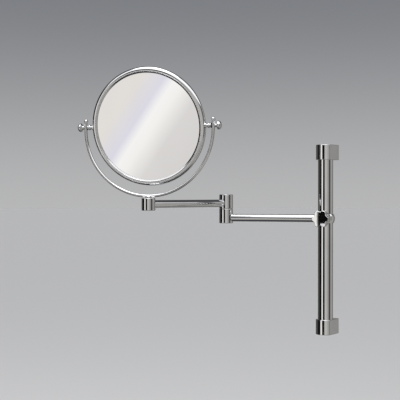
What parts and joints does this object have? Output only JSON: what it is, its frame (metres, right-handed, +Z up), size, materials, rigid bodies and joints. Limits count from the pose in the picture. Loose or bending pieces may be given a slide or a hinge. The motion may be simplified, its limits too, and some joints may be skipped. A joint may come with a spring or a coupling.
{
  "type": "extendable shaving mirror",
  "caption": "Wall-mounted extendable shaving mirror: vertical chrome rail, clamped height slider, folding swivel arm and a round double-sided mirror that tilts in a wire yoke.",
  "frame": {"origin": "on the wall plane, midway between the two wall fixing screws", "axes": "+Z up along the rail, +Y into the wall, +X along the wall to the right as seen from the room"},
  "size_m": [0.3332, 0.2896, 0.435],
  "materials": {
    "zinc_plate": "zinc plated, dull",
    "bracket_chrome": "polished chrome plate",
    "tube_chrome": "polished chrome plate on drawn tube",
    "cast_chrome": "polished chrome plate on a casting",
    "turned_chrome": "polished chrome plate on turned brass",
    "knob_chrome": "polished chrome plate",
    "wire_chrome": "polished chrome plate on drawn wire",
    "rim_chrome": "polished chrome plate on a spun ring",
    "bezel_chrome": "satin chrome plate",
    "mirror_glass": "silvered glass",
    "bright_steel": "zinc plated",
    "black_screw": "black oxide",
    "brass": "machined",
    "nylon": "natural nylon",
    "dark_nylon": "black nylon",
    "gasket_rubber": "matt",
    "backing": "pressed fibre board"
  },
  "bodies": {
    "wall_rail": {"top_wall_plate": "zinc_plate", "bottom_wall_plate": "zinc_plate", "top_bracket": "bracket_chrome", "bottom_bracket": "bracket_chrome", "rail_tube": "tube_chrome", "bracket_grub_screws": "black_screw", "rail_lock_screws": "black_screw"},
    "rail_sleeve": {"slider_rings": "nylon"},
    "slider": {"slider_body": "cast_chrome", "lower_arm_tube": "tube_chrome", "lower_arm_spigot": "brass", "elbow_lower_barrel": "turned_chrome", "elbow_bolt": "bright_steel", "elbow_bottom_cap": "turned_chrome", "elbow_disc_springs": "bright_steel", "elbow_lock_nut": "bright_steel"},
    "clamp_shoe": {"clamp_pad": "nylon"},
    "clamp_handle": {"clamp_screw": "bright_steel", "clamp_knob": "knob_chrome"},
    "upper_arm": {"elbow_upper_barrel": "turned_chrome", "elbow_bush": "brass", "elbow_friction_washer": "dark_nylon", "elbow_top_cap": "turned_chrome", "upper_arm_tube": "tube_chrome", "upper_arm_spigots": "brass", "end_barrel": "turned_chrome", "end_bush": "brass", "end_bottom_cap": "turned_chrome"},
    "yoke": {"yoke_bow": "wire_chrome", "left_finial": "wire_chrome", "right_finial": "wire_chrome", "yoke_stem": "turned_chrome", "stem_washer": "dark_nylon", "stem_disc_springs": "bright_steel", "stem_nut": "bright_steel"},
    "mirror_head": {"mirror_rim": "rim_chrome", "front_glass": "mirror_glass", "rear_glass": "mirror_glass", "backing_pad": "backing", "front_gasket": "gasket_rubber", "rear_gasket": "gasket_rubber", "front_bezel": "bezel_chrome", "rear_bezel": "bezel_chrome", "left_pivot_stud": "bright_steel", "right_pivot_stud": "bright_steel", "left_spacer": "turned_chrome", "right_spacer": "turned_chrome", "left_friction_washer": "dark_nylon", "right_friction_washer": "dark_nylon"},
    "left_thumb": {"left_thumb_knob": "knob_chrome"},
    "right_thumb": {"right_thumb_knob": "knob_chrome"}
  },
  "joints": [
    {"name": "slider_slide", "type": "slide", "parent": "wall_rail", "child": "rail_sleeve", "axis": [0, 0, 1], "range_m": [-0.15, 0.08]},
    {"name": "slider_swivel", "type": "hinge", "parent": "rail_sleeve", "child": "slider", "pos_m": [0, -0.022, 0.035], "axis": [0, 0, 1], "range_deg": [-20, 80]},
    {"name": "clamp_pad_travel", "type": "slide", "parent": "slider", "child": "clamp_shoe", "axis": [0.1822, -0.9833, 0], "range_m": [0, 0.001]},
    {"name": "clamp_knob_turn", "type": "hinge", "parent": "clamp_shoe", "child": "clamp_handle", "pos_m": [0.00456, -0.04658, 0.035], "axis": [0.1822, -0.9833, 0], "range_deg": [0, 360]},
    {"name": "elbow_turn", "type": "hinge", "parent": "slider", "child": "upper_arm", "pos_m": [-0.16358, -0.07515, 0.035], "axis": [0, 0, 1], "range_deg": [-188, 68]},
    {"name": "yoke_swivel", "type": "hinge", "parent": "upper_arm", "child": "yoke", "pos_m": [-0.19934, -0.24339, 0.0598], "axis": [0, 0, 1], "continuous": true},
    {"name": "mirror_tilt", "type": "hinge", "parent": "yoke", "child": "mirror_head", "pos_m": [-0.19934, -0.24339, 0.1836], "axis": [0.9397, 0.342, 0], "continuous": true},
    {"name": "left_thumb_turn", "type": "hinge", "parent": "mirror_head", "child": "left_thumb", "pos_m": [-0.30741, -0.28273, 0.1836], "axis": [-0.9397, -0.342, 0], "range_deg": [0, 360]},
    {"name": "right_thumb_turn", "type": "hinge", "parent": "mirror_head", "child": "right_thumb", "pos_m": [-0.09128, -0.20406, 0.1836], "axis": [0.9397, 0.342, 0], "range_deg": [0, 360]}
  ],
  "couplings": [
    {"joint": "clamp_pad_travel", "follows": "clamp_knob_turn", "m_per_rad": 0.00015915}
  ]
}
